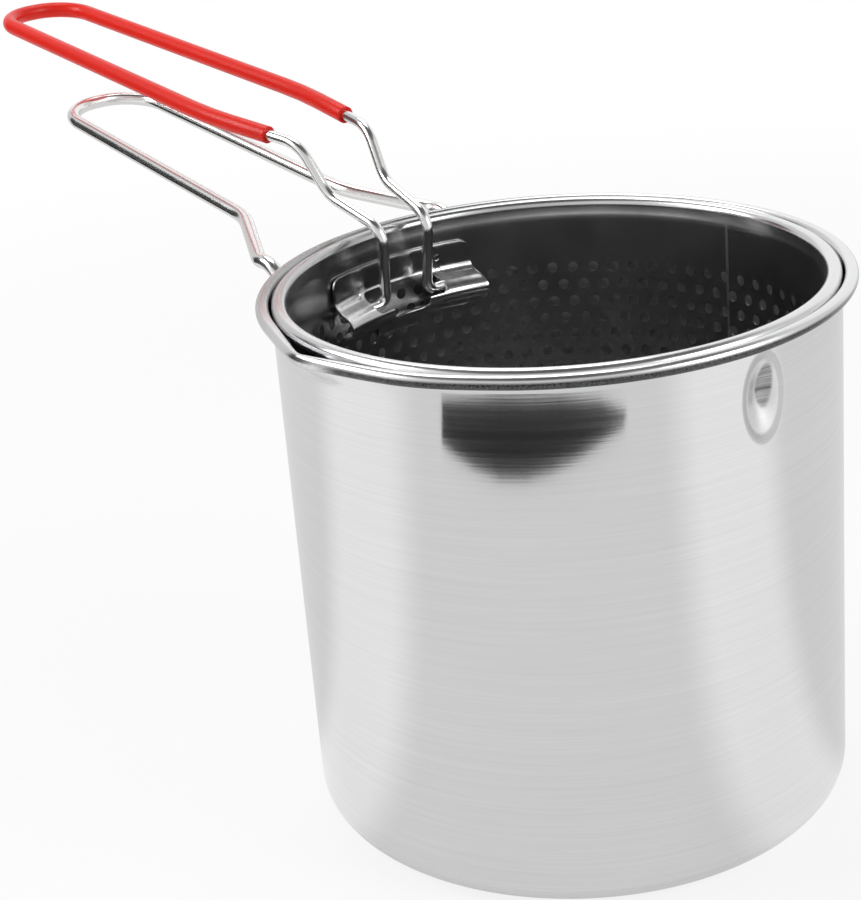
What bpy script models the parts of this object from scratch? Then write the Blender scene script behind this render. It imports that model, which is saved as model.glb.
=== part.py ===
"""Deep fry pot with a lift-out perforated basket.

Origin at the centre of the pot's base, +Z up, both wire handles along -X, metres.
The pot is a deep-drawn shell with a rolled rim, a pressed pour spout and three pressed dimples.
The basket is a rolled perforated sheet with a curled bead, which hangs in the flare of the pot's mouth.
Each wire handle has its feet in the barrels of a stamped bracket, and tilts about them.
"""

import math

import bmesh
import bpy
from mathutils import Matrix, Quaternion, Vector

# Allowances
TOUCH_GAP = 0.0003             # between pieces that touch on the real object
MERGE_DISTANCE = 0.000005
CUT_OVERRUN = 0.004

# Round pieces share their segments and phase, so that nested rings run parallel
RING_SEGMENTS = 48
FOOT_STEPS = 3
FLARE_STEPS = 3
CURL_STEPS = 5
SMOOTH_ANGLE = math.radians(35)

# Pot shell
POT_RADIUS = 0.080             # outside of the wall
POT_HEIGHT = 0.158
POT_SHEET = 0.0008
POT_FOOT_RADIUS = 0.0077       # rounded corner between base and wall, inside
POT_BEAD_RADIUS = 0.0019
POT_BEAD_OFFSET = 0.0025       # bead's centre circle outside the wall
POT_FLARE_HEIGHT = 0.0041      # stretch below the bead's centre that opens towards it
POT_CURL_END = math.radians(-115)
POT_INNER_RADIUS = POT_RADIUS - POT_SHEET
POT_BEAD_HEIGHT = POT_HEIGHT - POT_BEAD_RADIUS

# Pour spout, pressed into the rim
SPOUT_ANGLE = math.radians(-92)
SPOUT_HALF_ANGLE = math.radians(30)
SPOUT_REACH = 0.0042
SPOUT_FADE = 0.025             # depth down the wall at which the crease is gone
SPOUT_RING_SHARES = (0.42, 0.7, 1.0)

# Dimples that keep the basket centred
BASKET_SIDE_GAP = 0.0037       # between the pot's wall and the basket's
DIMPLE_CLEARANCE = 0.0004
DIMPLE_ANGLES = (math.radians(-1.6), math.radians(146), math.radians(214))
DIMPLE_WIDTH = 0.0150
DIMPLE_HEIGHT = 0.0252
DIMPLE_DROP = 0.0177           # centre below the rim's top
DIMPLE_DEPTH = BASKET_SIDE_GAP - DIMPLE_CLEARANCE
DIMPLE_SEGMENTS = 12
DIMPLE_RINGS = 8

# Basket wall
BASKET_SHEET = 0.0005
BASKET_DEPTH = 0.112           # bead's top to underside
BASKET_CORNER_RADIUS = 0.0025
BASKET_LIP_WIDTH = 0.0045      # turned in under the base
BASKET_BEAD_RADIUS = 0.0022
BASKET_BEAD_SETBACK = 0.0005   # bead's inner edge outside the wall's inner face
BASKET_CURL_END = math.radians(-105)
BASKET_INNER_RADIUS = POT_INNER_RADIUS - BASKET_SIDE_GAP - BASKET_SHEET
BASKET_FLAT_RADIUS = BASKET_INNER_RADIUS * math.cos(math.pi / RING_SEGMENTS)
BASKET_BEAD_CENTRE = BASKET_INNER_RADIUS + BASKET_BEAD_SETBACK + BASKET_BEAD_RADIUS

# Perforations: staggered rows, drawn coarser than the sheet's own
HOLE_COLUMNS = RING_SEGMENTS // 2
HOLE_ROWS = 5
HOLE_WEB_SHARE = 0.38          # metal between two holes, as a share of their pitch
FIRST_ROW_DROP = 0.0247        # first row's centres below the pot rim's top
BAND_EDGE = 0.0055             # from the first row's cells to the plain band's first ring
HOLE_PITCH = 2 * math.pi * BASKET_INNER_RADIUS / HOLE_COLUMNS
CELL_RADIUS = HOLE_PITCH / math.sqrt(3)
ROW_PITCH = CELL_RADIUS * 3 / 2

# Basket base, a dish with an upturned flange
BASE_FLANGE_HEIGHT = 0.006
BASE_HOLE_RINGS = 3
BASE_HOLE_PITCH = 0.0205
BASE_HOLE_RADIUS = 0.0062

# Bracket stamping, used inside the basket and outside the pot
BRACKET_WIDTH = 0.054
BRACKET_ABOVE = 0.0120         # plate above the hinge axis
BRACKET_BELOW = 0.0105         # plate below it
BRACKET_CORNER_RADIUS = 0.0036
BRACKET_RISE = 0.0034          # height in which the sheet leaves the plate for its barrel
BRACKET_SHEET = 0.0007
BRACKET_COLUMNS = 12
BARREL_CLEARANCE = 0.0004
BARREL_HALF_SPAN = math.radians(75)
BARREL_STEPS = 6
WINDOW_HALF_WIDTH = 0.0072     # opening between the two barrels
WINDOW_BELOW = 0.0046
NOTCH_HALF_WIDTH = 0.0142      # rounded notches in which the legs swing
NOTCH_ABOVE = 0.0042
NOTCH_BELOW = 0.0012
NOTCH_RADIUS = 0.0016
NOTCH_SEGMENTS = 2

# Handle wires. A place is (out from the hinge, aside, above the pot's rim)
WIRE_STEP = math.radians(24)
WIRE_FACETS = 2
BORE_FACETS = 3
LOOP_BEND_SHARE = 0.96         # bend of the loop's end, as a share of the half spacing

BASKET_WIRE_RADIUS = 0.0017
BASKET_HINGE_DROP = 0.0208
BASKET_FOOT_END = 0.0253
BASKET_LEG_ASIDE = 0.0082
BASKET_LEG_BEND = 0.0036
BASKET_LEG_TOP = (-0.0024, 0.0089, 0.0033)
BASKET_LEG_TOP_BEND = 0.0070
BASKET_RUN_END = (0.0201, 0.0110, 0.0109)
BASKET_RUN_BEND = 0.0120
BASKET_GRIP_START = (0.0300, 0.0134, 0.0262)
BASKET_GRIP_BEND = 0.0120
BASKET_GRIP_CROWN = (0.0700, 0.0188, 0.0310)
BASKET_CROWN_BEND = 0.12
BASKET_GRIP_END = (0.2106, 0.0148, 0.0482)

SLEEVE_RADIUS = 0.00275
SLEEVE_CLEARANCE = 0.00038
SLEEVE_START = 0.0432          # out from the hinge, along the grip

POT_WIRE_RADIUS = 0.0023
POT_HINGE_DROP = 0.0195
POT_FOOT_END = 0.0090
POT_LEG_ASIDE = 0.0335
POT_LEG_BEND = 0.0048
POT_LEG_TOP = (0.0039, 0.0351, -0.0044)
POT_LEG_TOP_BEND = 0.0080
POT_RUN_TURN = (0.0129, 0.0346, -0.0050)
POT_RUN_BEND = 0.0080
POT_GRIP_START = (0.0408, 0.0195, 0.0004)
POT_GRIP_BEND = 0.0100
POT_GRIP_END = (0.1577, 0.0167, 0.0195)

# Hinge axes lie along Y, a touching gap from the walls that the wire feet rest on
FOOT_WALL_REACH = math.sqrt((BASKET_INNER_RADIUS - 2 * TOUCH_GAP) ** 2 - BASKET_FOOT_END**2)
BASKET_HINGE_REACH = FOOT_WALL_REACH - BASKET_WIRE_RADIUS
BASKET_HINGE_HEIGHT = POT_HEIGHT - BASKET_HINGE_DROP
POT_HINGE_REACH = POT_RADIUS + TOUCH_GAP + POT_WIRE_RADIUS
POT_HINGE_HEIGHT = POT_HEIGHT - POT_HINGE_DROP

STEEL = (0.78, 0.78, 0.79)
DARK_STEEL = (0.55, 0.55, 0.56)
RED = (0.72, 0.03, 0.02)


def clear_scene():
    for old in list(bpy.data.objects):
        bpy.data.objects.remove(old, do_unlink=True)


def new_collection(name):
    collection = bpy.data.collections.new(name)
    bpy.context.scene.collection.children.link(collection)
    return collection


def add_object(name, data, collection):
    made = bpy.data.objects.new(name, data)
    collection.objects.link(made)
    return made


def object_from_shape(name, shape, collection):
    mesh = bpy.data.meshes.new(name)
    shape.to_mesh(mesh)
    shape.free()
    return add_object(name, mesh, collection)


def frozen(source, collection):
    """Replace an object by its evaluated mesh, with doubles merged and normals consistent."""
    name = source.name
    bpy.context.view_layer.update()
    evaluated = source.evaluated_get(bpy.context.evaluated_depsgraph_get())
    mesh = bpy.data.meshes.new_from_object(evaluated)
    place = source.matrix_world.copy()
    bpy.data.objects.remove(source, do_unlink=True)
    shape = bmesh.new()
    shape.from_mesh(mesh)
    bmesh.ops.remove_doubles(shape, verts=shape.verts, dist=MERGE_DISTANCE)
    bmesh.ops.recalc_face_normals(shape, faces=shape.faces)
    shape.to_mesh(mesh)
    shape.free()
    made = add_object(name, mesh, collection)
    made.matrix_world = place
    return made


def finish(made, colour, metallic, roughness):
    """Give a part its own material, and smooth shading with sharp folds."""
    material = bpy.data.materials.new(made.name)
    material.use_nodes = True
    shader = material.node_tree.nodes["Principled BSDF"]
    shader.inputs["Base Color"].default_value = (*colour, 1)
    shader.inputs["Metallic"].default_value = metallic
    shader.inputs["Roughness"].default_value = roughness
    made.data.materials.clear()
    made.data.materials.append(material)
    made.data.shade_smooth()
    made.data.set_sharp_from_angle(angle=SMOOTH_ANGLE)
    return made


def boolean(made, cutter, operation):
    change = made.modifiers.new(operation.lower(), "BOOLEAN")
    change.object = cutter
    change.operation = operation
    change.solver = "EXACT"
    cutter.hide_render = True
    cutter.display_type = "WIRE"


def thicken(made, thickness, offset):
    sheet = made.modifiers.new("sheet", "SOLIDIFY")
    sheet.thickness = thickness
    sheet.offset = offset
    sheet.use_even_offset = True


def arc(centre_radius, centre_height, radius, start, end, steps):
    """Points of an arc in the turning plane."""
    angles = [start + (end - start) * step / steps for step in range(steps + 1)]
    return [
        (centre_radius + radius * math.cos(angle), centre_height + radius * math.sin(angle))
        for angle in angles
    ]


def face_outwards(shape):
    """Turn an open shell about Z so that its wall's normals point away from the axis."""
    lean = 0
    for face in shape.faces:
        middle = face.calc_center_median()
        lean += face.calc_area() * face.normal.dot(Vector((middle.x, middle.y, 0)))
    if lean < 0:
        bmesh.ops.reverse_faces(shape, faces=shape.faces)


def turned(name, outline, collection):
    """Turn an outline of (radius, height) points about Z into an open shell."""
    shape = bmesh.new()
    verts = [shape.verts.new((radius, 0, height)) for radius, height in outline]
    for first, second in zip(verts, verts[1:]):
        shape.edges.new((first, second))
    profile = object_from_shape(name, shape, collection)
    screw = profile.modifiers.new("turn", "SCREW")
    screw.steps = RING_SEGMENTS
    screw.render_steps = RING_SEGMENTS
    screw.use_merge_vertices = True
    screw.merge_threshold = MERGE_DISTANCE
    profile.rotation_euler.z = SPOUT_ANGLE
    made = frozen(profile, collection)
    shell = bmesh.new()
    shell.from_mesh(made.data)
    face_outwards(shell)
    shell.to_mesh(made.data)
    shell.free()
    return made


def flare_outline():
    """The pot's inner face from its bead's inner edge down to the straight wall."""
    bead_edge = POT_RADIUS + POT_BEAD_OFFSET - POT_BEAD_RADIUS
    points = []
    for step in range(FLARE_STEPS + 1):
        share = 1 - step / FLARE_STEPS
        radius = POT_INNER_RADIUS + (bead_edge - POT_INNER_RADIUS) * share * share
        points.append((radius, POT_BEAD_HEIGHT - POT_FLARE_HEIGHT * (1 - share)))
    return points


def bead_seat_height():
    """Lowest place of the basket bead's centre that clears the pot's flare by the touching gap."""
    reach = BASKET_BEAD_RADIUS + TOUCH_GAP
    flare = flare_outline()
    heights = []
    for (upper_radius, upper_height), (lower_radius, lower_height) in zip(flare, flare[1:]):
        for step in range(RING_SEGMENTS + 1):
            share = step / RING_SEGMENTS
            aside = upper_radius + (lower_radius - upper_radius) * share - BASKET_BEAD_CENTRE
            height = upper_height + (lower_height - upper_height) * share
            if aside < reach:
                heights.append(height + math.sqrt(reach**2 - aside**2))
    return max(heights)


BASKET_BEAD_HEIGHT = bead_seat_height()
BASKET_UNDERSIDE = BASKET_BEAD_HEIGHT + BASKET_BEAD_RADIUS - BASKET_DEPTH
BASKET_CORNER_CENTRE = BASKET_INNER_RADIUS - BASKET_CORNER_RADIUS
BASKET_CORNER_HEIGHT = BASKET_UNDERSIDE + BASKET_SHEET + BASKET_CORNER_RADIUS


def press_spout(made):
    """Push the rim and the wall under it outwards to a sharp lip."""
    for vert in made.data.vertices:
        depth_share = (POT_HEIGHT - vert.co.z) / SPOUT_FADE
        if depth_share < 1:
            turn = math.atan2(vert.co.y, vert.co.x)
            lip_share = max(0, 1 - abs(turn) / SPOUT_HALF_ANGLE)
            push = SPOUT_REACH * lip_share * (1 - depth_share) ** 2
            vert.co += Vector((push * math.cos(turn), push * math.sin(turn), 0))


def oval(name, centre_radius, angle, margin, collection):
    """An ellipsoid on the wall, as wide and tall as a dimple and a margin."""
    shape = bmesh.new()
    bmesh.ops.create_uvsphere(
        shape, u_segments=DIMPLE_SEGMENTS, v_segments=DIMPLE_RINGS, radius=DIMPLE_DEPTH
    )
    widen = (DIMPLE_WIDTH / 2 + margin) / DIMPLE_DEPTH
    heighten = (DIMPLE_HEIGHT / 2 + margin) / DIMPLE_DEPTH
    bmesh.ops.scale(shape, vec=(1, widen, heighten), verts=shape.verts)
    made = object_from_shape(name, shape, collection)
    centre_height = POT_HEIGHT - DIMPLE_DROP
    made.location = (centre_radius * math.cos(angle), centre_radius * math.sin(angle), centre_height)
    made.rotation_euler.z = angle
    return made


def pot_body(parts, cutters):
    """Deep-drawn shell: rolled rim, flared mouth, straight wall, rounded foot and flat base."""
    bead_radius = POT_RADIUS + POT_BEAD_OFFSET
    outline = arc(bead_radius, POT_BEAD_HEIGHT, POT_BEAD_RADIUS, POT_CURL_END, math.pi, CURL_STEPS)
    outline += flare_outline()[1:]
    outline += [(POT_INNER_RADIUS, POT_HEIGHT - SPOUT_FADE * share) for share in SPOUT_RING_SHARES]
    foot_centre = POT_INNER_RADIUS - POT_FOOT_RADIUS
    foot_height = POT_SHEET + POT_FOOT_RADIUS
    outline += arc(foot_centre, foot_height, POT_FOOT_RADIUS, 0, -math.pi / 2, FOOT_STEPS)
    outline.append((0, POT_SHEET))
    shell = turned("pot_body", outline, parts)
    press_spout(shell)
    thicken(shell, POT_SHEET, 1)

    mid_wall = POT_INNER_RADIUS + POT_SHEET / 2
    shape = bmesh.new()
    bmesh.ops.create_cone(
        shape,
        cap_ends=True,
        segments=RING_SEGMENTS,
        radius1=mid_wall,
        radius2=mid_wall,
        depth=POT_HEIGHT,
    )
    trim = object_from_shape("dimple_trim", shape, cutters)
    trim.location.z = POT_HEIGHT / 2
    trim.rotation_euler.z = SPOUT_ANGLE
    for number, angle in enumerate(DIMPLE_ANGLES):
        bump = oval(f"dimple_bump_{number}", POT_INNER_RADIUS, angle, POT_SHEET, cutters)
        boolean(bump, trim, "INTERSECT")
        boolean(shell, frozen(bump, cutters), "UNION")
        dent = oval(f"dimple_dent_{number}", POT_RADIUS, angle, 0, cutters)
        boolean(shell, dent, "DIFFERENCE")
    return finish(frozen(shell, parts), STEEL, 1, 0.28)


def extrude_ring(shape, edges, radius, height):
    """Carry a round boundary on to a new radius and height, and return its new edges."""
    grown = bmesh.ops.extrude_edge_only(shape, edges=edges)["geom"]
    verts = {item for item in grown if isinstance(item, bmesh.types.BMVert)}
    for vert in verts:
        turn = math.atan2(vert.co.y, vert.co.x)
        vert.co = (radius * math.cos(turn), radius * math.sin(turn), height)
    edges = [item for item in grown if isinstance(item, bmesh.types.BMEdge)]
    return [edge for edge in edges if verts.issuperset(edge.verts)]


def basket_wall(parts):
    """Perforated sheet rolled round, with a curled bead above and a turned-in lip below."""
    shape = bmesh.new()
    top_row = POT_HEIGHT - FIRST_ROW_DROP
    for row in range(HOLE_ROWS):
        for column in range(HOLE_COLUMNS):
            across = (column + (row % 2) / 2) * HOLE_PITCH
            centre = Matrix.Translation((across, top_row - row * ROW_PITCH, 0))
            bmesh.ops.create_circle(shape, cap_ends=True, segments=6, radius=CELL_RADIUS, matrix=centre)
    for vert in shape.verts:
        turn = vert.co.x / BASKET_INNER_RADIUS
        around = (BASKET_INNER_RADIUS * math.cos(turn), BASKET_INNER_RADIUS * math.sin(turn))
        vert.co = (*around, vert.co.y)
    bmesh.ops.remove_doubles(shape, verts=shape.verts, dist=MERGE_DISTANCE)
    webs = list(shape.edges)
    mid_height = top_row - ROW_PITCH * (HOLE_ROWS - 1) / 2
    boundary = [edge for edge in webs if edge.is_boundary]
    upper = [edge for edge in boundary if edge.verts[0].co.z > mid_height]
    lower = [edge for edge in boundary if edge.verts[0].co.z < mid_height]

    rise = [
        (BASKET_INNER_RADIUS, top_row + CELL_RADIUS + BAND_EDGE),
        (BASKET_INNER_RADIUS, BASKET_BEAD_HEIGHT - BASKET_BEAD_RADIUS),
    ]
    rise += arc(
        BASKET_BEAD_CENTRE,
        BASKET_BEAD_HEIGHT,
        BASKET_BEAD_RADIUS,
        math.pi,
        BASKET_CURL_END,
        CURL_STEPS,
    )
    for radius, height in rise:
        upper = extrude_ring(shape, upper, radius, height)
    fall = arc(
        BASKET_CORNER_CENTRE,
        BASKET_CORNER_HEIGHT,
        BASKET_CORNER_RADIUS,
        0,
        -math.pi / 2,
        FOOT_STEPS,
    )
    fall.append((BASKET_INNER_RADIUS - BASKET_LIP_WIDTH, BASKET_UNDERSIDE + BASKET_SHEET))
    for radius, height in fall:
        lower = extrude_ring(shape, lower, radius, height)

    bmesh.ops.bevel(
        shape,
        geom=webs,
        offset=HOLE_PITCH * HOLE_WEB_SHARE / 2,
        offset_type="OFFSET",
        segments=1,
        profile=0.5,
        affect="EDGES",
        material=-1,
    )
    holes = [face for face in shape.faces if len(face.verts) == 6]
    bmesh.ops.delete(shape, geom=holes, context="FACES_ONLY")
    for vert in shape.verts:
        if BASKET_CORNER_HEIGHT < vert.co.z < top_row + CELL_RADIUS:
            turn = math.atan2(vert.co.y, vert.co.x)
            around = (BASKET_INNER_RADIUS * math.cos(turn), BASKET_INNER_RADIUS * math.sin(turn))
            vert.co = (*around, vert.co.z)
    bmesh.ops.recalc_face_normals(shape, faces=shape.faces)
    face_outwards(shape)
    made = object_from_shape("basket_wall", shape, parts)
    made.rotation_euler.z = SPOUT_ANGLE
    thicken(made, BASKET_SHEET, 1)
    return finish(frozen(made, parts), DARK_STEEL, 1, 0.35)


def basket_base(parts, cutters):
    """Perforated dish that stands on the wall's lip, with its flange welded to the wall."""
    corner_radius = BASKET_CORNER_RADIUS - TOUCH_GAP - BASKET_SHEET
    outline = [(BASKET_CORNER_CENTRE + corner_radius, BASKET_UNDERSIDE + BASE_FLANGE_HEIGHT)]
    outline += arc(
        BASKET_CORNER_CENTRE, BASKET_CORNER_HEIGHT, corner_radius, 0, -math.pi / 2, FOOT_STEPS
    )
    floor_height = BASKET_CORNER_HEIGHT - corner_radius
    outline.append((0, floor_height))
    dish = turned("basket_base", outline, parts)
    thicken(dish, BASKET_SHEET, 1)

    shape = bmesh.new()
    for row in range(-BASE_HOLE_RINGS, BASE_HOLE_RINGS + 1):
        for place in range(-BASE_HOLE_RINGS, BASE_HOLE_RINGS + 1):
            if abs(row + place) <= BASE_HOLE_RINGS:
                across = BASE_HOLE_PITCH * (place + row / 2)
                along = BASE_HOLE_PITCH * row * math.sqrt(3) / 2
                bmesh.ops.create_cone(
                    shape,
                    cap_ends=True,
                    segments=6,
                    radius1=BASE_HOLE_RADIUS,
                    radius2=BASE_HOLE_RADIUS,
                    depth=2 * CUT_OVERRUN,
                    matrix=Matrix.Translation((across, along, floor_height)),
                )
    holes = object_from_shape("base_holes", shape, cutters)
    holes.rotation_euler.z = SPOUT_ANGLE
    boolean(dish, holes, "DIFFERENCE")
    return finish(frozen(dish, parts), DARK_STEEL, 1, 0.35)


def cut_box(name, half_width, below, above, hinge, collection):
    """A rounded slot through a bracket's barrels."""
    shape = bmesh.new()
    bmesh.ops.create_cube(shape, size=1)
    bmesh.ops.scale(shape, vec=(BRACKET_WIDTH, 2 * half_width, below + above), verts=shape.verts)
    along = [edge for edge in shape.edges if abs(edge.verts[0].co.x - edge.verts[1].co.x) > half_width]
    bmesh.ops.bevel(
        shape,
        geom=along,
        offset=NOTCH_RADIUS,
        offset_type="OFFSET",
        segments=NOTCH_SEGMENTS,
        profile=0.5,
        affect="EDGES",
        material=-1,
    )
    made = object_from_shape(name, shape, collection)
    made.location = (-hinge[0], 0, hinge[1] + (above - below) / 2)
    return made


def bracket(name, wall_radius, bulge, hinge, wire_radius, parts, cutters):
    """Stamped plate on a round wall, whose barrels bulge over the wire's feet.

    The bulge is 1 for a plate outside its wall and -1 for one inside it. The hinge is its axis's
    (reach, height).
    """
    hinge_reach, hinge_height = hinge
    plate_radius = wall_radius + bulge * (TOUCH_GAP + BRACKET_SHEET / 2)
    barrel_radius = wire_radius + BARREL_CLEARANCE + BRACKET_SHEET / 2
    spans = [BARREL_HALF_SPAN * (1 - 2 * step / BARREL_STEPS) for step in range(BARREL_STEPS + 1)]
    barrel = [
        (hinge_reach + bulge * barrel_radius * math.cos(span), barrel_radius * math.sin(span))
        for span in spans
    ]
    plate_edge = barrel[0][1] + BRACKET_RISE
    rows = [(None, -BRACKET_BELOW), (None, -plate_edge)]
    rows += reversed(barrel)
    rows += [(None, plate_edge), (None, BRACKET_ABOVE)]

    shape = bmesh.new()
    half_width = BRACKET_WIDTH / 2
    last_row = len(rows) - 1
    bmesh.ops.create_grid(shape, x_segments=BRACKET_COLUMNS, y_segments=last_row, size=half_width)
    corners = [vert for vert in shape.verts if len(vert.link_edges) == 2]
    for vert in shape.verts:
        aside = vert.co.x
        reach, above = rows[round((vert.co.y / BRACKET_WIDTH + 0.5) * last_row)]
        if reach is None:
            reach = math.sqrt(plate_radius**2 - aside**2)
        vert.co = (-reach, aside, hinge_height + above)
    bmesh.ops.bevel(
        shape,
        geom=corners,
        offset=BRACKET_CORNER_RADIUS,
        offset_type="OFFSET",
        segments=NOTCH_SEGMENTS,
        profile=0.5,
        affect="VERTICES",
        material=-1,
    )
    made = object_from_shape(name, shape, parts)
    thicken(made, BRACKET_SHEET, 0)
    window = cut_box(f"{name}_window", WINDOW_HALF_WIDTH, WINDOW_BELOW, NOTCH_ABOVE, hinge, cutters)
    boolean(made, window, "DIFFERENCE")
    notch = cut_box(f"{name}_notch", NOTCH_HALF_WIDTH, NOTCH_BELOW, NOTCH_ABOVE, hinge, cutters)
    boolean(made, notch, "DIFFERENCE")
    return finish(frozen(made, parts), STEEL, 1, 0.18)


def bent_path(corners):
    """Round each corner of a path by its bend radius. A corner is (place, bend)."""
    points = [corners[0][0]]
    for (before, _), (corner, bend), (after, _) in zip(corners, corners[1:], corners[2:]):
        arriving = (corner - before).normalized()
        leaving = (after - corner).normalized()
        turn = arriving.angle(leaving)
        start = corner - arriving * bend * math.tan(turn / 2)
        axis = arriving.cross(leaving).normalized()
        centre = start + axis.cross(arriving) * bend
        steps = math.ceil(turn / WIRE_STEP)
        for step in range(steps + 1):
            swing = Quaternion(axis, turn * step / steps)
            points.append(centre + swing @ (start - centre))
    points.append(corners[-1][0])
    return points


def mirrored(half):
    """Complete a path's corners across the handles' plane."""
    other = [(Vector((place.x, -place.y, place.z)), bend) for place, bend in reversed(half)]
    return half + other


def handle_place(place, hinge_drop):
    """A place of a handle wire, seen from its hinge."""
    out, aside, above_rim = place
    return Vector((-out, aside, hinge_drop + above_rim))


def tube(name, path, radius, facets, collection):
    """A round bar along a path of points."""
    curve = bpy.data.curves.new(name, "CURVE")
    curve.dimensions = "3D"
    curve.bevel_depth = radius
    curve.bevel_resolution = facets
    curve.use_fill_caps = True
    spline = curve.splines.new("POLY")
    spline.points.add(len(path) - 1)
    for point, place in zip(spline.points, path):
        point.co = (*place, 1)
    return frozen(add_object(name, curve, collection), collection)


def basket_grip_corners(start_out):
    """Corners of the basket handle's grip, from a distance out round the loop's end."""
    start = handle_place(BASKET_GRIP_START, BASKET_HINGE_DROP)
    crown = handle_place(BASKET_GRIP_CROWN, BASKET_HINGE_DROP)
    share = (start_out - BASKET_GRIP_START[0]) / (BASKET_GRIP_CROWN[0] - BASKET_GRIP_START[0])
    end = handle_place(BASKET_GRIP_END, BASKET_HINGE_DROP)
    return [
        (start.lerp(crown, share), BASKET_GRIP_BEND),
        (crown, BASKET_CROWN_BEND),
        (end, LOOP_BEND_SHARE * BASKET_GRIP_END[1]),
    ]


def basket_handle_wire(parts):
    """Bent wire: feet turned out into the barrels, upright legs, a run over the rims and a loop."""
    half = [
        (Vector((0, BASKET_FOOT_END, 0)), 0),
        (Vector((0, BASKET_LEG_ASIDE, 0)), BASKET_LEG_BEND),
        (handle_place(BASKET_LEG_TOP, BASKET_HINGE_DROP), BASKET_LEG_TOP_BEND),
        (handle_place(BASKET_RUN_END, BASKET_HINGE_DROP), BASKET_RUN_BEND),
    ]
    half += basket_grip_corners(BASKET_GRIP_START[0])
    path = bent_path(mirrored(half))
    wire = tube("basket_handle_wire", path, BASKET_WIRE_RADIUS, WIRE_FACETS, parts)
    return finish(wire, STEEL, 1, 0.12)


def grip_sleeve(parts, cutters):
    """Soft tube pushed over the basket handle's loop."""
    path = bent_path(mirrored(basket_grip_corners(SLEEVE_START)))
    sleeve = tube("grip_sleeve", path, SLEEVE_RADIUS, WIRE_FACETS, parts)
    bore_path = bent_path(mirrored(basket_grip_corners(SLEEVE_START - CUT_OVERRUN)))
    bore_radius = BASKET_WIRE_RADIUS + SLEEVE_CLEARANCE
    bore = tube("sleeve_bore", bore_path, bore_radius, BORE_FACETS, cutters)
    boolean(sleeve, bore, "DIFFERENCE")
    return sleeve, bore


def pot_handle_wire(parts):
    """Bent wire: feet turned in into the barrels, splayed legs, a narrowing run and a loop."""
    half = [
        (Vector((0, POT_FOOT_END, 0)), 0),
        (Vector((0, POT_LEG_ASIDE, 0)), POT_LEG_BEND),
        (handle_place(POT_LEG_TOP, POT_HINGE_DROP), POT_LEG_TOP_BEND),
        (handle_place(POT_RUN_TURN, POT_HINGE_DROP), POT_RUN_BEND),
        (handle_place(POT_GRIP_START, POT_HINGE_DROP), POT_GRIP_BEND),
        (handle_place(POT_GRIP_END, POT_HINGE_DROP), LOOP_BEND_SHARE * POT_GRIP_END[1]),
    ]
    path = bent_path(mirrored(half))
    wire = tube("pot_handle_wire", path, POT_WIRE_RADIUS, WIRE_FACETS, parts)
    return finish(wire, STEEL, 1, 0.12)


def add_joint(name, place, parent, parts):
    """An empty on a joint's axis, carried by its parent."""
    joint = add_object(name, None, parts)
    joint.location = place
    if parent:
        join(joint, parent)
    return joint


def join(child, parent):
    """Parent an object where it stands."""
    bpy.context.view_layer.update()
    child.parent = parent
    child.matrix_parent_inverse = parent.matrix_world.inverted()


def build():
    clear_scene()
    parts = new_collection("deep_fry_pot")
    cutters = new_collection("cutters")
    basket_hinge = (BASKET_HINGE_REACH, BASKET_HINGE_HEIGHT)
    pot_hinge = (POT_HINGE_REACH, POT_HINGE_HEIGHT)

    pot = pot_body(parts, cutters)
    pot_bracket = bracket("pot_bracket", POT_RADIUS, 1, pot_hinge, POT_WIRE_RADIUS, parts, cutters)
    join(pot_bracket, pot)
    pot_joint = add_joint("pot_handle_hinge", (-POT_HINGE_REACH, 0, POT_HINGE_HEIGHT), pot, parts)
    pot_handle_wire(parts).parent = pot_joint

    lift = add_joint("basket_lift", (0, 0, BASKET_BEAD_HEIGHT), pot, parts)
    join(basket_wall(parts), lift)
    join(basket_base(parts, cutters), lift)
    basket_bracket = bracket(
        "basket_bracket", BASKET_FLAT_RADIUS, -1, basket_hinge, BASKET_WIRE_RADIUS, parts, cutters
    )
    join(basket_bracket, lift)
    basket_place = (-BASKET_HINGE_REACH, 0, BASKET_HINGE_HEIGHT)
    basket_joint = add_joint("basket_handle_hinge", basket_place, lift, parts)
    basket_handle_wire(parts).parent = basket_joint
    sleeve, bore = grip_sleeve(parts, cutters)
    finish(sleeve, RED, 0, 0.22)
    sleeve.parent = basket_joint
    bore.parent = basket_joint


build()
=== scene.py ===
import math

import bmesh
import bpy
from mathutils import Matrix, Vector


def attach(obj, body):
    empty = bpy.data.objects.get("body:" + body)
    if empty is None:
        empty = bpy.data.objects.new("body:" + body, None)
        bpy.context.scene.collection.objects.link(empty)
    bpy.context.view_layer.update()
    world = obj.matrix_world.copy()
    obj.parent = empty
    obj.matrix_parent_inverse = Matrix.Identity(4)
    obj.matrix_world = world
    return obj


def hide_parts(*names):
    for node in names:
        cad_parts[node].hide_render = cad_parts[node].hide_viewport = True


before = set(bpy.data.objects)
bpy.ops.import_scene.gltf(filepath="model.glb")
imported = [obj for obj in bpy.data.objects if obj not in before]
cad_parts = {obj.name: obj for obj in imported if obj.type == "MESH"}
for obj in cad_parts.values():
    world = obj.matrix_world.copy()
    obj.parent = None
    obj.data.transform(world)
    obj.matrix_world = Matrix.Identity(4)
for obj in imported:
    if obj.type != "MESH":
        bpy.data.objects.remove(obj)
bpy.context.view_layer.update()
scene = bpy.context.scene

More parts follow.
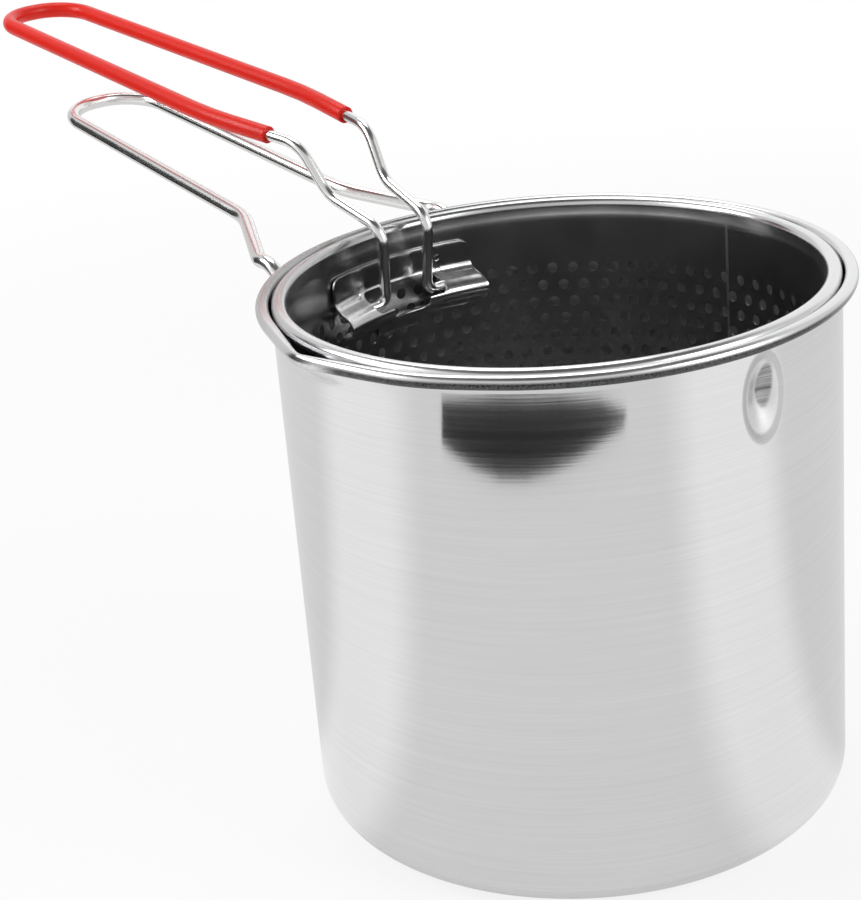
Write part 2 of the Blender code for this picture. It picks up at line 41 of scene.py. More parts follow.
# The camera stands in front of the pot and a little above it, as in the photograph.
# It was fitted to the rims, the walls and the foot in an 861 x 900 picture.
PICTURE_WIDTH, PICTURE_HEIGHT = 861, 900
FOCAL_PIXELS = 2067.37
AXIS_PIXELS = (448.97, 448.35)
CAMERA_REACH = 0.55761
CAMERA_HEIGHT = 0.33334
CAMERA_PITCH = math.radians(22.086)
CAMERA_YAW = math.radians(3.433)
CAMERA_ROLL = math.radians(-4.699)
CAMERA_TURN = math.radians(48)
SENSOR_WIDTH = 36

turn = Matrix.Rotation(CAMERA_TURN, 4, "Z")
pitched = Matrix.Rotation(math.pi / 2 - CAMERA_PITCH, 4, "X")
level_look = Matrix.Rotation(CAMERA_YAW, 4, "Z") @ pitched
camera_data = bpy.data.cameras.new("camera")
camera_data.sensor_width = SENSOR_WIDTH
camera_data.lens = SENSOR_WIDTH * FOCAL_PIXELS / PICTURE_HEIGHT
camera_data.shift_x = (PICTURE_WIDTH / 2 - AXIS_PIXELS[0]) / PICTURE_HEIGHT
camera_data.shift_y = (AXIS_PIXELS[1] - PICTURE_HEIGHT / 2) / PICTURE_HEIGHT
camera_data.clip_start = 0.01
camera = bpy.data.objects.new("camera", camera_data)
scene.collection.objects.link(camera)
stand = Matrix.Translation((0, -CAMERA_REACH, CAMERA_HEIGHT))
camera.matrix_world = turn @ stand @ level_look @ Matrix.Rotation(CAMERA_ROLL, 4, "Z")
scene.camera = camera
scene.view_settings.view_transform = "Standard"


# The pot is deep drawn from one sheet of steel. Its rim is rolled outwards, a pour lip is pressed
# into one side, and three oval dimples under the rim keep the basket centred. It is brushed round.
POT_RADIUS = 0.080
POT_HEIGHT = 0.158
POT_SHEET = 0.0008
POT_FOOT = 0.0085
POT_BEAD = 0.0019
POT_BEAD_CENTRE = 0.08242
POT_BEAD_HEIGHT = POT_HEIGHT - POT_BEAD
POT_FLARE_DEPTH = 0.0041
POT_CURL_END = math.radians(-122)
POT_BASE_RING = 0.04
POT_ROUND_STEPS = 600
FOOT_STEPS = 12
INNER_FOOT_STEPS = 8
FLARE_ROWS = 8
BEAD_STEPS = 26
INNER_BEAD_STEPS = 16
WALL_ROWS = 30
WALL_ROW = 0.0009
WALL_ROWS_DROP = 0.0320
MERGE_DISTANCE = 1e-6
DIMPLE_ANGLES = [math.radians(angle) for angle in (-1.6, 146, 214)]
DIMPLE_HALF_WIDTH = 0.0075
DIMPLE_HALF_HEIGHT = 0.0126
DIMPLE_DROP = 0.0177
DIMPLE_DEPTH = 0.0029
# A dark streak painted into each dimple, a painted reflection
MARK_ASIDE = 0.0018
MARK_HALF_WIDTH = 0.0027
MARK_HALF_HEIGHT = 0.0068
MARK_DROP = 0.0150
SPOUT_ANGLE = math.radians(-92.6)
# (radius, reach at the sharp tip, angle that rounds the tip) of the bead's inner and outer edge
SPOUT_EDGES = [
    (POT_BEAD_CENTRE - POT_BEAD, 0.0058, math.radians(0.9)),
    (POT_BEAD_CENTRE + POT_BEAD, 0.0052, math.radians(3.4)),
]
SPOUT_SWELL = 0.0013
SPOUT_SWELL_ANGLE = math.radians(40)
SPOUT_FADE = 0.0065
SPOUT_SWELL_FADE = 0.0018
BASE_RECESS = 0.0005
BASE_RECESS_RADIUS = 0.056
BASE_RECESS_STEP = 0.003
# (0 below, 1 above) limits of the brushed steel's zones, as radii and heights
OUTSIDE_RISE = (0.0794, 0.0798)
BEAD_SIDE_RISE = (0.0803, 0.0809)
BEAD_RISE = (0.1534, 0.1542)
BEAD_FOOT_RISE = (0.1562, 0.1570)
MOUTH_RISE = (0.1525, 0.1535)
UNDERSIDE_RISE = (0.0, 0.002)
# Edges of a dimple's painted reflection streak and of the painted dark ring round it, as shares of
# their half sizes
MARK_EDGE = (0.75, 1.1)
RING_BAND = (0.80, 1.02, 0.05)
# Bearings in radians: the beads' rear with its painted reflection, counted from -X, and the foot's
# front with its painted reflection, from +X
BEAD_REAR = (-0.70, 1.05)
BEAD_REAR_EDGE = 0.30
PAINTED_FRONT_START = (-1.55, -1.44)
PAINTED_FRONT_END = (0.1, 0.9)
POT_TONE = 0.80
POT_BLUE = 1.008
POT_ROUGHNESS = 0.07
BEAD_ROUGHER = 0.15
MARK_ROUGHER = 0.1
INSIDE_ROUGHER = 0.3
POT_BUMP = 0.0000019
# Painted shade and reflection: the bead's foot is darkened, most of all at its front, with some
# grain of its own
FOOT_PAINTED_SHADE = 0.08
FRONT_PAINTED_SHADE = 0.62
# Painted reflection: the bead's rear is darkened by this much
REAR_PAINTED_SHADE = 0.38
# Painted reflections in each dimple: a dark streak and a dark ring round its edge
PAINTED_STREAK_SHADE = 0.40
PAINTED_RING_SHADE = 0.22
POT_CRISP = 50


class Level:
    """One output of a finish's nodes. Sums and products of levels add their own Math nodes."""

    def __init__(self, finish, socket):
        self.finish = finish
        self.socket = socket

    def maths(self, operation, *values):
        return self.finish.node("ShaderNodeMath", {"operation": operation}, dict(enumerate(values)))

    def __add__(self, other):
        return self.maths("ADD", self, other)

    def __sub__(self, other):
        return self.maths("SUBTRACT", self, other)

    def __rsub__(self, other):
        return self.maths("SUBTRACT", other, self)

    def __mul__(self, other):
        return self.maths("MULTIPLY", self, other)

    def __pow__(self, other):
        return self.maths("POWER", self, other)

    __radd__ = __add__
    __rmul__ = __mul__

    def rising(self, low, high):
        """0 below low and 1 above high, with a soft rise between them."""
        settings = {"interpolation_type": "SMOOTHSTEP"}
        return self.finish.node("ShaderNodeMapRange", settings, {"Value": self, 1: low, 2: high})

    def band(self, low, high, edge):
        """1 between low and high, with soft edges."""
        return self.rising(low - edge, low + edge) * (1 - self.rising(high - edge, high + edge))


class Finish:
    """A material under construction, or the world's light."""

    def __init__(self, name, owner=None):
        self.material = owner or bpy.data.materials.new(name)
        self.material.use_nodes = True
        self.tree = self.material.node_tree
        self.tree.nodes.clear()

    def node(self, kind, settings=None, inputs=None, output=0):
        """Add a node with its settings, then its sockets' values and links."""
        made = self.tree.nodes.new(kind)
        for name, value in (settings or {}).items():
            setattr(made, name, value)
        for name, value in (inputs or {}).items():
            socket = made.inputs[name]
            if isinstance(value, Level):
                self.tree.links.new(value.socket, socket)
            else:
                socket.default_value = value
        return Level(self, made.outputs[output]) if made.outputs else None

    def place(self):
        """Where a point lies in the piece's own coordinates, which are the object's."""
        return self.node("ShaderNodeTexCoord", output="Object")

    def split(self, vector):
        axes = self.node("ShaderNodeSeparateXYZ", inputs={0: vector})
        return [Level(self, axes.socket.node.outputs[index]) for index in range(3)]

    def stretched(self, vector, scale):
        return self.node("ShaderNodeVectorMath", {"operation": "MULTIPLY"}, {0: vector, 1: scale})

    def noise(self, vector, scale, detail=2, roughness=0.5):
        inputs = {"Vector": vector, "Scale": scale, "Detail": detail, "Roughness": roughness}
        return self.node("ShaderNodeTexNoise", None, inputs)

    def blend(self, factor, first, second):
        """Mix two colours."""
        inputs = {0: factor, 6: first, 7: second}
        return self.node("ShaderNodeMix", {"data_type": "RGBA"}, inputs, output=2)

    def bump(self, height, distance):
        inputs = {"Height": height, "Distance": distance, "Strength": 1.0}
        return self.node("ShaderNodeBump", None, inputs)

    def bearing(self, across, along):
        """The angle round the pot's axis, from -pi to pi."""
        return self.node("ShaderNodeMath", {"operation": "ARCTAN2"}, {0: along, 1: across})

    def grey(self, tone, red=1.0, blue=1.0):
        """A grey colour, made warm or cool by a factor on its red and its blue."""
        return self.node("ShaderNodeCombineColor", None, {0: tone * red, 1: tone, 2: tone * blue})

    def surface(self, inputs):
        shader = self.node("ShaderNodeBsdfPrincipled", None, inputs)
        self.node("ShaderNodeOutputMaterial", None, {"Surface": shader})
        return self.material


def arc(centre_radius, centre_height, radius, start, end, steps):
    """Points of an arc in the turning plane, as (radius, height)."""
    angles = [start + (end - start) * step / steps for step in range(steps + 1)]
    return [
        (centre_radius + radius * math.cos(angle), centre_height + radius * math.sin(angle))
        for angle in angles
    ]


def spun(profile, steps):
    """Spin an open profile of (radius, height) points round the pot's axis."""
    shape = bmesh.new()
    verts = [shape.verts.new((radius, 0, height)) for radius, height in profile]
    for first, second in zip(verts, verts[1:]):
        shape.edges.new((first, second))
    bmesh.ops.spin(
        shape,
        geom=shape.verts[:] + shape.edges[:],
        cent=(0, 0, 0),
        axis=(0, 0, 1),
        dvec=(0, 0, 0),
        angle=2 * math.pi,
        steps=steps,
        use_merge=True,
    )
    bmesh.ops.remove_doubles(shape, verts=shape.verts, dist=MERGE_DISTANCE)
    bmesh.ops.recalc_face_normals(shape, faces=shape.faces)
    return shape


def placed(shape, name):
    """Put a shape into the scene as an object, and free it."""
    mesh = bpy.data.meshes.new(name)
    shape.to_mesh(mesh)
    shape.free()
    made = bpy.data.objects.new(name, mesh)
    scene.collection.objects.link(made)
    return made


def add_piece(shape, name, finish, body, node, crisp):
    """Make a piece of the shape, which stands for a CAD node and moves with a body.

    Edges that turn by more than the angle crisp, in degrees, aren't smoothed over.
    """
    piece = placed(shape, name)
    piece.data.materials.append(finish)
    piece.data.shade_smooth()
    piece.data.set_sharp_from_angle(angle=math.radians(crisp))
    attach(piece, body)
    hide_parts(node)


def pot_flare(share):
    """Radius of the pot's inner face, at a share of the flare's depth below the bead's centre."""
    mouth = POT_BEAD_CENTRE - POT_BEAD
    wall = POT_RADIUS - POT_SHEET
    return wall + (mouth - wall) * (1 - share) ** 2


wall_rows = [POT_HEIGHT - WALL_ROWS_DROP + WALL_ROW * row for row in range(WALL_ROWS)]
flare_shares = [1 - row / FLARE_ROWS for row in range(FLARE_ROWS)]
inner_wall = POT_RADIUS - POT_SHEET
foot_centre = POT_RADIUS - POT_FOOT
inner_foot = POT_FOOT - POT_SHEET
pot_profile = [(0.0, POT_SHEET), (POT_BASE_RING, POT_SHEET)]
pot_profile += arc(foot_centre, POT_FOOT, inner_foot, -math.pi / 2, 0, INNER_FOOT_STEPS)
pot_profile += [(inner_wall, height) for height in wall_rows]
pot_profile += [
    (pot_flare(share), POT_BEAD_HEIGHT - POT_FLARE_DEPTH * share) for share in flare_shares
]
pot_profile += arc(POT_BEAD_CENTRE, POT_BEAD_HEIGHT, POT_BEAD, math.pi, POT_CURL_END, BEAD_STEPS)
pot_profile += arc(
    POT_BEAD_CENTRE, POT_BEAD_HEIGHT, POT_BEAD - POT_SHEET, POT_CURL_END, math.pi, INNER_BEAD_STEPS
)
pot_profile += [
    (pot_flare(share) + POT_SHEET, POT_BEAD_HEIGHT - POT_FLARE_DEPTH * share)
    for share in reversed(flare_shares)
]
pot_profile += [(POT_RADIUS, height) for height in reversed(wall_rows)]
pot_profile += arc(foot_centre, POT_FOOT, POT_FOOT, 0, -math.pi / 2, FOOT_STEPS)
pot_profile += [
    (BASE_RECESS_RADIUS + BASE_RECESS_STEP * 2, 0.0),
    (BASE_RECESS_RADIUS + BASE_RECESS_STEP, BASE_RECESS * 0.15),
    (BASE_RECESS_RADIUS, BASE_RECESS * 0.85),
    (BASE_RECESS_RADIUS - BASE_RECESS_STEP, BASE_RECESS),
    (0.0, BASE_RECESS),
]
pot_shape = spun(pot_profile, POT_ROUND_STEPS)


def faded(share):
    """1 at the start of a fade and 0 at its end, level at both."""
    share = min(1, share)
    return (1 - share) ** 2 * (1 + 2 * share)


def dimple_depth(angle, height):
    """How far the wall is pressed in, at an angle and a height."""
    depth = 0
    for centre in DIMPLE_ANGLES:
        across = math.remainder(angle - centre, 2 * math.pi) * POT_RADIUS / DIMPLE_HALF_WIDTH
        along = (height - POT_HEIGHT + DIMPLE_DROP) / DIMPLE_HALF_HEIGHT
        spread = math.hypot(across, along)
        if spread < 1:
            bowl = (1 + math.cos(math.pi * spread)) / 2
            depth = DIMPLE_DEPTH * (0.8 * bowl + 0.2 * (1 - spread**2))
    return depth


def spout_push(angle, radius, height):
    """How far the pour lip is pressed out: straight sides, and a tip that pinches the bead."""
    away = math.remainder(angle - SPOUT_ANGLE, 2 * math.pi)
    pushes = []
    for edge, reach, rounding in SPOUT_EDGES:
        tangent = math.acos(edge / (edge + reach))
        turned = max(0, tangent - math.hypot(away, rounding))
        pushes.append(edge / math.cos(turned) - edge)
    share = (radius - SPOUT_EDGES[0][0]) / (2 * POT_BEAD)
    push = pushes[0] + (pushes[1] - pushes[0]) * min(1, max(0, share))
    drop = max(0, POT_BEAD_HEIGHT - POT_BEAD - height)
    push *= faded(drop / SPOUT_FADE)
    if 0 < away < SPOUT_SWELL_ANGLE:
        swell = SPOUT_SWELL * math.sin(math.pi * away / SPOUT_SWELL_ANGLE) ** 2
        push += swell * faded(drop / SPOUT_SWELL_FADE)
    return push


for vert in pot_shape.verts:
    x, y, z = vert.co
    radius = math.hypot(x, y)
    if radius > foot_centre:
        angle = math.atan2(y, x)
        push = spout_push(angle, radius, z) - dimple_depth(angle, z)
        vert.co += Vector((push * math.cos(angle), push * math.sin(angle), 0))

brushed = Finish("brushed_pot_steel")
place = brushed.place()
across, along, up = brushed.split(place)
radius = (across * across + along * along) ** 0.5
lines = brushed.noise(brushed.stretched(place, (22, 22, 1500)), 1.0, 3, 0.65)
long_lines = brushed.noise(brushed.stretched(place, (9, 9, 900)), 1.0, 2, 0.5)
clouds = brushed.noise(place, 22, 3)
grain = brushed.noise(place, 2600, 2, 0.7)
on_bead = radius.rising(*BEAD_SIDE_RISE) * up.rising(*BEAD_RISE)
bearing = brushed.bearing(across, along)
opposite = brushed.bearing(across * -1, along * -1)
# The front of the bead's foot, where the darkest painted reflection goes
painted_front = bearing.rising(*PAINTED_FRONT_START) * (1 - bearing.rising(*PAINTED_FRONT_END))
bead_foot = on_bead * (1 - up.rising(*BEAD_FOOT_RISE))
rear_side = opposite.band(*BEAD_REAR, BEAD_REAR_EDGE)
mark_up = (up - POT_HEIGHT + MARK_DROP) * (1 / MARK_HALF_HEIGHT)
ring_up = (up - POT_HEIGHT + DIMPLE_DROP) * (1 / DIMPLE_HALF_HEIGHT)
# Masks of the painted reflection streak and ring in each dimple
painted_streaks = 0
rings = 0
for centre in DIMPLE_ANGLES:
    turned_bearing = bearing if abs(centre) < math.pi / 2 else opposite + math.pi
    offset = (turned_bearing - centre) * POT_RADIUS
    mark_across = (offset - MARK_ASIDE) * (1 / MARK_HALF_WIDTH)
    mark_away = (mark_across * mark_across + mark_up * mark_up) ** 0.5
    painted_streaks = painted_streaks + (1 - mark_away.rising(*MARK_EDGE))
    ring_across = offset * (1 / DIMPLE_HALF_WIDTH)
    ring_away = (ring_across * ring_across + ring_up * ring_up) ** 0.5
    rings = rings + ring_away.band(*RING_BAND)
wall = (1 - on_bead) * up.rising(*UNDERSIDE_RISE)
inside = (1 - radius.rising(*OUTSIDE_RISE)) * (1 - up.rising(*MOUTH_RISE))
tone = POT_TONE + (lines - 0.5) * 0.10 * wall + (long_lines - 0.5) * 0.05 * wall
tone = tone + (clouds - 0.5) * 0.03
# Painted shade and reflection on the bead's foot, darkest at its front, with some grain of its own
tone = tone - bead_foot * (FOOT_PAINTED_SHADE + painted_front * FRONT_PAINTED_SHADE + (grain - 0.5) * 0.6)
# Painted reflection: the bead's rear is darkened
tone = tone - on_bead * rear_side * (REAR_PAINTED_SHADE + (grain - 0.5) * 0.1)
# Painted reflections: each dimple gets a dark streak and a dark ring round its edge
tone = tone - (painted_streaks * (PAINTED_STREAK_SHADE + (lines - 0.5) * 1.4) + rings * PAINTED_RING_SHADE) * wall
colour = brushed.grey(tone, blue=POT_BLUE)
roughness = POT_ROUGHNESS + (long_lines - 0.5) * 0.05 * wall
roughness = roughness + on_bead * BEAD_ROUGHER + (painted_streaks + rings) * MARK_ROUGHER
roughness = roughness + inside * INSIDE_ROUGHER
height = lines * wall + long_lines * wall * 0.5 + grain * on_bead * 9
normal = brushed.bump(height, POT_BUMP)
brushed_steel = brushed.surface(
    {"Base Color": colour, "Metallic": 1.0, "Roughness": roughness, "Normal": normal}
)
add_piece(pot_shape, "pot_shell", brushed_steel, "pot", "pot_body", POT_CRISP)


# Two brackets of one stamping: one is spot welded inside the basket, one outside the pot. Each is
# a plate with two barrels rolled out of it, open between them and notched where the legs swing.
BRACKET_WIDTH = 0.054
BRACKET_ABOVE = 0.0120
BRACKET_BELOW = 0.0090
TAB_BELOW = 0.0118
TAB_HALF_WIDTH = 0.0078
BRACKET_CORNER = 0.0034
BRACKET_SHEET = 0.0007
BRACKET_COLUMNS = 72
PLATE_ROWS = 6
CORNER_STEPS = 10
NOTCH_STEPS = 6
BRACKET_TONE = 0.60
BRACKET_ROUGHNESS = 0.18
BRACKET_BUMP = 0.000012
STEEL_BLUE = 1.01
WELD_ASIDE = 0.016
WELD_HEIGHTS = (0.1412, 0.1452)
WELD_RISE = (0.0007, 0.0012)
BRACKET_EDGE = 0.00013
BRACKET_CRISP = 35
WELD_PRESS = 9
# (out from the plate, above the hinge), from under the barrel up to where it joins the plate
BARREL_SIDE = [
    (0.0000, -0.0068),
    (0.0008, -0.0062),
    (0.0030, -0.0056),
    (0.0056, -0.0050),
    (0.0074, -0.0042),
    (0.0083, -0.0030),
    (0.0085, -0.0018),
    (0.0079, -0.0006),
    (0.0064, 0.0005),
    (0.0046, 0.0014),
    (0.0027, 0.0021),
    (0.0012, 0.0029),
    (0.0003, 0.0039),
    (0.0000, 0.0050),
]
WINDOW_HALF_WIDTH = 0.0072
WINDOW_BELOW = 0.0046
NOTCH_HALF_WIDTH = 0.0142
NOTCH_ABOVE = 0.0042
NOTCH_BELOW = 0.0012
NOTCH_RADIUS = 0.0021
TOUCH_GAP = 0.0003
BASKET_HINGE = (0.068266, 0.1372)
POT_HINGE = (0.0826, 0.1385)
BASKET_WIRE = 0.0017
POT_WIRE = 0.0023
BASKET_RADIUS = 0.0750
BASKET_FLAT_RADIUS = BASKET_RADIUS * math.cos(math.pi / 48)


def rounded_slot(half_width, below, above, hinge):
    """A block with rounded edges, which cuts a slot through a bracket's barrels."""
    shape = bmesh.new()
    bmesh.ops.create_cube(shape, size=1)
    bmesh.ops.scale(shape, vec=(BRACKET_WIDTH, 2 * half_width, below + above), verts=shape.verts)
    middle = hinge[1] + (above - below) / 2
    bmesh.ops.translate(shape, vec=(-hinge[0], 0, middle), verts=shape.verts)
    along = [
        edge
        for edge in shape.edges
        if abs(edge.verts[0].co.x - edge.verts[1].co.x) > half_width
    ]
    bmesh.ops.bevel(
        shape,
        geom=along,
        offset=NOTCH_RADIUS,
        segments=NOTCH_STEPS,
        profile=0.5,
        affect="EDGES",
        material=-1,
    )
    return placed(shape, "slot")


def applied(source):
    """The source's mesh with its modifiers, as a new shape, and the source removed."""
    bpy.context.view_layer.update()
    evaluated = source.evaluated_get(bpy.context.evaluated_depsgraph_get())
    mesh = bpy.data.meshes.new_from_object(evaluated)
    bpy.data.objects.remove(source, do_unlink=True)
    shape = bmesh.new()
    shape.from_mesh(mesh)
    bpy.data.meshes.remove(mesh)
    return shape


def smoothed(points):
    """Cut the corners of a line of points."""
    finer = [points[0]]
    for first, second in zip(points, points[1:]):
        for share in (0.25, 0.75):
            finer.append(tuple(a * (1 - share) + b * share for a, b in zip(first, second)))
    return finer + [points[-1]]


def bracket_shape(wall_radius, bulge, hinge):
    """The stamping on a wall, with barrels that bulge away from it over the wire's feet."""
    plate_radius = wall_radius + bulge * (TOUCH_GAP + BRACKET_SHEET / 2)
    side = smoothed(BARREL_SIDE)
    low, high = side[0][1], side[-1][1]
    rows = [(0.0, -TAB_BELOW + (low + TAB_BELOW) * step / PLATE_ROWS) for step in range(PLATE_ROWS)]
    rows += side
    rows += [
        (0.0, high + (BRACKET_ABOVE - high) * (step + 1) / PLATE_ROWS) for step in range(PLATE_ROWS)
    ]
    shape = bmesh.new()
    half_width = BRACKET_WIDTH / 2
    last = len(rows) - 1
    bmesh.ops.create_grid(shape, x_segments=BRACKET_COLUMNS, y_segments=last, size=half_width)
    for vert in shape.verts:
        aside = vert.co.x
        out, above = rows[round((vert.co.y / BRACKET_WIDTH + 0.5) * last)]
        reach = math.sqrt(plate_radius**2 - aside**2) + bulge * out
        vert.co = (-reach, aside, hinge[1] + above)
    stamping = placed(shape, "stamping")
    sheet = stamping.modifiers.new("sheet", "SOLIDIFY")
    sheet.thickness = BRACKET_SHEET
    sheet.offset = 0
    sheet.use_even_offset = True
    window = rounded_slot(WINDOW_HALF_WIDTH, WINDOW_BELOW, NOTCH_ABOVE, hinge)
    notch = rounded_slot(NOTCH_HALF_WIDTH, NOTCH_BELOW, NOTCH_ABOVE, hinge)
    keep = corner_frame(hinge)
    for cutter, operation in ((window, "DIFFERENCE"), (notch, "DIFFERENCE"), (keep, "INTERSECT")):
        cut = stamping.modifiers.new("cut", "BOOLEAN")
        cut.object = cutter
        cut.operation = operation
        cut.solver = "EXACT"
    edge = stamping.modifiers.new("edge", "BEVEL")
    edge.width = BRACKET_EDGE
    edge.segments = 2
    edge.limit_method = "ANGLE"
    edge.angle_limit = math.radians(50)
    edge.use_clamp_overlap = True
    cut_shape = applied(stamping)
    for cutter in (window, notch, keep):
        bpy.data.objects.remove(cutter, do_unlink=True)
    return cut_shape


def corner_frame(hinge):
    """What the plate keeps: its rounded outline with a tab below the window."""
    shape = bmesh.new()
    side = BRACKET_WIDTH / 2
    outline = [
        (side, BRACKET_ABOVE),
        (-side, BRACKET_ABOVE),
        (-side, -BRACKET_BELOW),
        (-TAB_HALF_WIDTH, -BRACKET_BELOW),
        (-TAB_HALF_WIDTH, -TAB_BELOW),
        (TAB_HALF_WIDTH, -TAB_BELOW),
        (TAB_HALF_WIDTH, -BRACKET_BELOW),
        (side, -BRACKET_BELOW),
    ]
    near = [
        shape.verts.new((-hinge[0] + side, aside, hinge[1] + above)) for aside, above in outline
    ]
    face = shape.faces.new(near)
    grown = bmesh.ops.extrude_face_region(shape, geom=[face])["geom"]
    moved = [item for item in grown if isinstance(item, bmesh.types.BMVert)]
    bmesh.ops.translate(shape, vec=(-BRACKET_WIDTH, 0, 0), verts=moved)
    bmesh.ops.recalc_face_normals(shape, faces=shape.faces)
    along = [
        edge
        for edge in shape.edges
        if abs(edge.verts[0].co.x - edge.verts[1].co.x) > side
        and abs(edge.verts[0].co.y) > TAB_HALF_WIDTH * 2
    ]
    bmesh.ops.bevel(
        shape,
        geom=along,
        offset=BRACKET_CORNER,
        segments=CORNER_STEPS,
        profile=0.5,
        affect="EDGES",
        material=-1,
    )
    return placed(shape, "outline")


stamped = Finish("stamped_steel")
place = stamped.place()
mottle = stamped.noise(place, 420, 3, 0.6)
scratches = stamped.noise(stamped.stretched(place, (900, 140, 900)), 1.0, 2, 0.6)
across, aside, up = stamped.split(place)
aside = aside.maths("ABSOLUTE", aside) - WELD_ASIDE
welds = 0
for weld_height in WELD_HEIGHTS:
    drop = up - weld_height
    away = (aside * aside + drop * drop) ** 0.5
    welds = welds + (1 - away.rising(*WELD_RISE))
tone = BRACKET_TONE + (mottle - 0.5) * 0.14
stamped_steel = stamped.surface(
    {
        "Base Color": stamped.grey(tone, blue=STEEL_BLUE),
        "Metallic": 1.0,
        "Roughness": BRACKET_ROUGHNESS + (mottle - 0.5) * 0.16,
        "Normal": stamped.bump(mottle + scratches * 0.35 - welds * WELD_PRESS, BRACKET_BUMP),
    }
)
basket_bracket = bracket_shape(BASKET_FLAT_RADIUS, -1, BASKET_HINGE)
add_piece(
    basket_bracket,
    "basket_stamping",
    stamped_steel,
    "basket",
    "basket_bracket",
    BRACKET_CRISP,
)
pot_bracket = bracket_shape(POT_RADIUS, 1, POT_HINGE)
add_piece(
    pot_bracket,
    "pot_stamping",
    stamped_steel,
    "pot",
    "pot_bracket",
    BRACKET_CRISP,
)


# The basket's wall is rolled from perforated sheet and seam welded. Its top is a plain band with a
# curled bead, and its foot is turned in under the base.
BASKET_SHEET = 0.0005
BASKET_BEAD = 0.0022
BASKET_BEAD_CENTRE = 0.0777
BASKET_BEAD_HEIGHT = 0.15606
BASKET_CURL_START = math.radians(192)
BASKET_CURL_END = math.radians(-112)
BASKET_BEAD_STEPS = 22
BASKET_CORNER_STEPS = 6
# (step out from the wall, drop below the bead's centre) of the plain band's upper rings
BAND_RINGS = [(0.0, 0.0046), (0.0001, 0.0024)]
BASKET_UNDERSIDE = BASKET_BEAD_HEIGHT + BASKET_BEAD - 0.112
BASKET_CORNER = 0.0025
BASKET_LIP = 0.0045
HOLE_COLUMNS = 73
HOLE_ROWS = 16
HOLE_SIDES = 16
HOLE_RADIUS = 0.0017
FIRST_ROW_DROP = 0.0218
FIRST_HOLE_ANGLE = math.radians(108.6)
HOLE_PITCH = 2 * math.pi * BASKET_RADIUS / HOLE_COLUMNS
ROW_PITCH = HOLE_PITCH * math.sqrt(3) / 2
CELL_MERGE = 0.00001
WRAP_MERGE = 0.00002
EDGE_TOLERANCE = 0.00001
SEAM_ANGLE = math.radians(92.8)
SEAM_HALF_ANGLE = 0.006
SEAM_EDGE = 0.004
SEAM_HEIGHTS = (0.05, 0.1525)
SEAM_END = 0.001
# (0 below, 1 above) limits of the steel's zones, as radii and heights
WALL_OUTSIDE_RISE = (0.0758, 0.0762)
BASKET_BEAD_RISE = (0.1528, 0.1538)
BASKET_TONE = 0.44
BASKET_ROUGHNESS = 0.24
BASKET_BUMP = 0.00001
# Painted sheen: the bead is made lighter than the wall of the same sheet
BEAD_PAINTED_SHEEN = 0.34
# Painted reflection: the bead's rear is darkened by this much
BEAD_REAR_PAINTED_SHADE = 0.26
BASKET_CRISP = 40


def cell_edge(step):
    """How far along a cell's half side its edge point lies, for one of sixteen steps round it."""
    away = abs(math.remainder(step, HOLE_SIDES))
    return max(-1.0, min(1.0, 2 - away / 2))


def perforated_sheet(centres):
    """A flat sheet of cells in rows, each with a round hole, from the holes' centres."""
    shape = bmesh.new()
    for across, along in centres:
        bmesh.ops.create_circle(
            shape,
            cap_ends=False,
            segments=HOLE_SIDES,
            radius=HOLE_RADIUS,
            matrix=Matrix.Translation((across, along, 0)),
        )
    grown = bmesh.ops.extrude_edge_only(shape, edges=shape.edges[:])["geom"]
    for vert in [item for item in grown if isinstance(item, bmesh.types.BMVert)]:
        row = round(vert.co.y / ROW_PITCH)
        stagger = (row % 2) / 2
        column = round(vert.co.x / HOLE_PITCH - stagger)
        centre = Vector(((column + stagger) * HOLE_PITCH, row * ROW_PITCH))
        out = Vector((vert.co.x, vert.co.y)) - centre
        step = round(math.atan2(out.y, out.x) / (2 * math.pi) * HOLE_SIDES)
        vert.co.x = centre.x + cell_edge(step) * HOLE_PITCH / 2
        vert.co.y = centre.y + cell_edge(step - HOLE_SIDES // 4) * ROW_PITCH / 2
    bmesh.ops.remove_doubles(shape, verts=shape.verts, dist=CELL_MERGE)
    return shape


def extend_ring(shape, edges, radius, height):
    """Carry a round edge on to a new radius and height, and return its new edges."""
    grown = bmesh.ops.extrude_edge_only(shape, edges=edges)["geom"]
    verts = {item for item in grown if isinstance(item, bmesh.types.BMVert)}
    for vert in verts:
        angle = math.atan2(vert.co.y, vert.co.x)
        vert.co = (radius * math.cos(angle), radius * math.sin(angle), height)
    edges = [item for item in grown if isinstance(item, bmesh.types.BMEdge)]
    return [edge for edge in edges if verts.issuperset(edge.verts)]


def thickened(shape, name, thickness):
    """Give an open sheet its thickness, outside the face that it shows."""
    bmesh.ops.recalc_face_normals(shape, faces=shape.faces)
    lean = 0
    for face in shape.faces:
        middle = face.calc_center_median()
        lean += face.calc_area() * face.normal.dot(Vector((middle.x, middle.y, -1)))
    if lean < 0:
        bmesh.ops.reverse_faces(shape, faces=shape.faces)
    made = placed(shape, name)
    sheet = made.modifiers.new("sheet", "SOLIDIFY")
    sheet.thickness = thickness
    sheet.offset = 1
    sheet.use_even_offset = True
    return applied(made)


